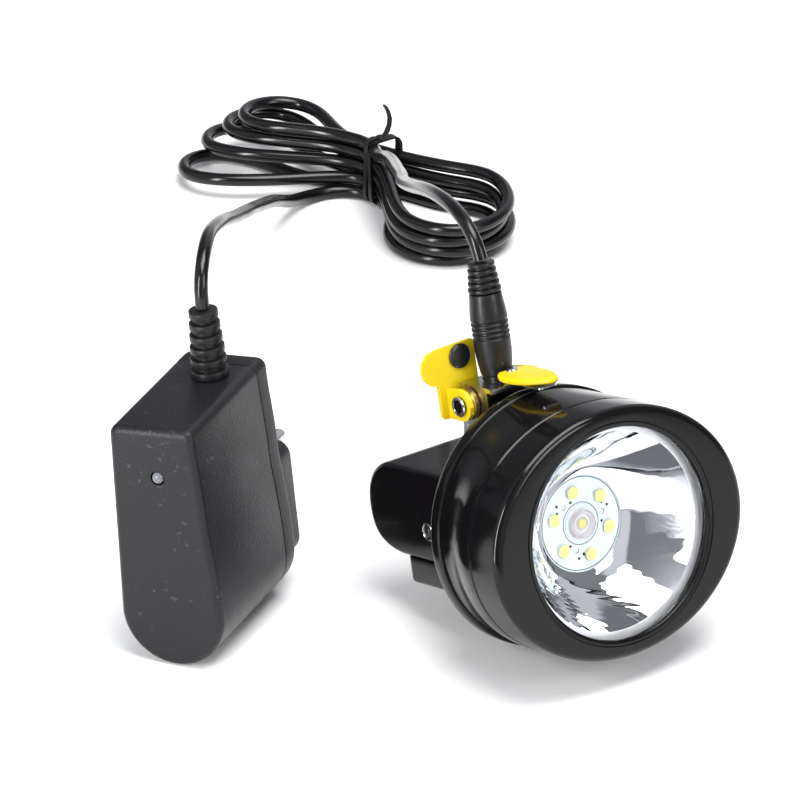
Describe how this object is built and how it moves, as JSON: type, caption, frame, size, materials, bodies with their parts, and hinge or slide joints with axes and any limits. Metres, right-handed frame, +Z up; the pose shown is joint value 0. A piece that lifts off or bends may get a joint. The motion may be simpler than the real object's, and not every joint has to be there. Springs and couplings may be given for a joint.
{
  "type": "miner's cap lamp",
  "caption": "Cordless miner's cap lamp with an oval bezel, a round reflector, a hinged helmet hook and its plug-in charger on a tied cord.",
  "frame": {"origin": "under the middle of the lamp, on the surface that the lamp and its charger stand on", "axes": "-Y the way the lamp faces, +Z up, +X to the lamp's left as it looks at you"},
  "size_m": [0.2621, 0.3663, 0.1176],
  "materials": {
    "shell_gloss": "moulded glossy black",
    "charger_matte": "moulded matte black, fine texture",
    "fitting_matte": "moulded matte black",
    "rubber_black": "soft black rubber",
    "cord_black": "glossy black sheath",
    "window_clear": "clear polycarbonate",
    "dome_clear": "clear silicone",
    "mirror": "aluminised",
    "steel": "bright pressed steel",
    "brass": "brass, tarnished",
    "hook_yellow": "yellow paint on sheet steel",
    "led_board": "white solder mask",
    "phosphor": "yellow phosphor",
    "circuit_board": "green solder mask",
    "cell_wrap": "shrink wrap",
    "aluminium": "machined",
    "indicator_red": "red lens",
    "transformer_tape": "winding tape",
    "contact_nickel": "nickel plated"
  },
  "bodies": {
    "lamp": {"front_bezel": "shell_gloss", "head_shell": "shell_gloss", "rear_housing": "shell_gloss", "battery_cover": "shell_gloss", "charger_front_shell": "charger_matte", "charger_back_shell": "charger_matte", "socket_tower": "fitting_matte", "dc_plug_grip": "rubber_black", "dc_plug_relief": "rubber_black", "charger_relief": "rubber_black", "lens_gasket": "rubber_black", "twist_tie": "rubber_black", "cord_charger_leg": "cord_black", "cord_hank": "cord_black", "cord_plug_leg": "cord_black", "lens": "window_clear", "main_led_dome": "dome_clear", "charger_led": "dome_clear", "reflector": "mirror", "hinge_bracket": "steel", "bracket_pin": "steel", "tongue_spring": "steel", "tongue_rivet": "steel", "switch_ring": "steel", "flange_screw_1": "steel", "flange_screw_2": "steel", "flange_screw_3": "steel", "flange_screw_4": "steel", "hinge_washer_left": "brass", "hinge_washer_right": "brass", "hinge_rivet_left": "brass", "hinge_rivet_right": "brass", "front_tongue": "hook_yellow", "led_board": "led_board", "main_led": "phosphor", "aux_led_1": "phosphor", "aux_led_2": "phosphor", "aux_led_3": "phosphor", "aux_led_4": "phosphor", "aux_led_5": "phosphor", "aux_led_6": "phosphor", "driver_board": "circuit_board", "charger_board": "circuit_board", "battery_cell": "cell_wrap", "heat_sink": "aluminium", "charge_indicator": "indicator_red", "charger_transformer": "transformer_tape", "dc_jack": "contact_nickel", "dc_plug_barrel": "contact_nickel", "mains_pin_lower": "contact_nickel", "mains_pin_upper": "contact_nickel"},
    "hook": {"hook_plate": "hook_yellow", "hook_stud": "fitting_matte"},
    "button": {"switch_button": "rubber_black"}
  },
  "joints": [
    {"name": "hook_tilt", "type": "hinge", "parent": "lamp", "child": "hook", "pos_m": [0, 0.02076, 0.06693], "axis": [-1, 0, 0], "range_deg": [0, 35]},
    {"name": "switch_press", "type": "slide", "parent": "lamp", "child": "button", "axis": [1, 0, 0], "range_m": [0, 0.001], "stiffness_N_per_m": 1500, "springref_m": -0.0007}
  ]
}
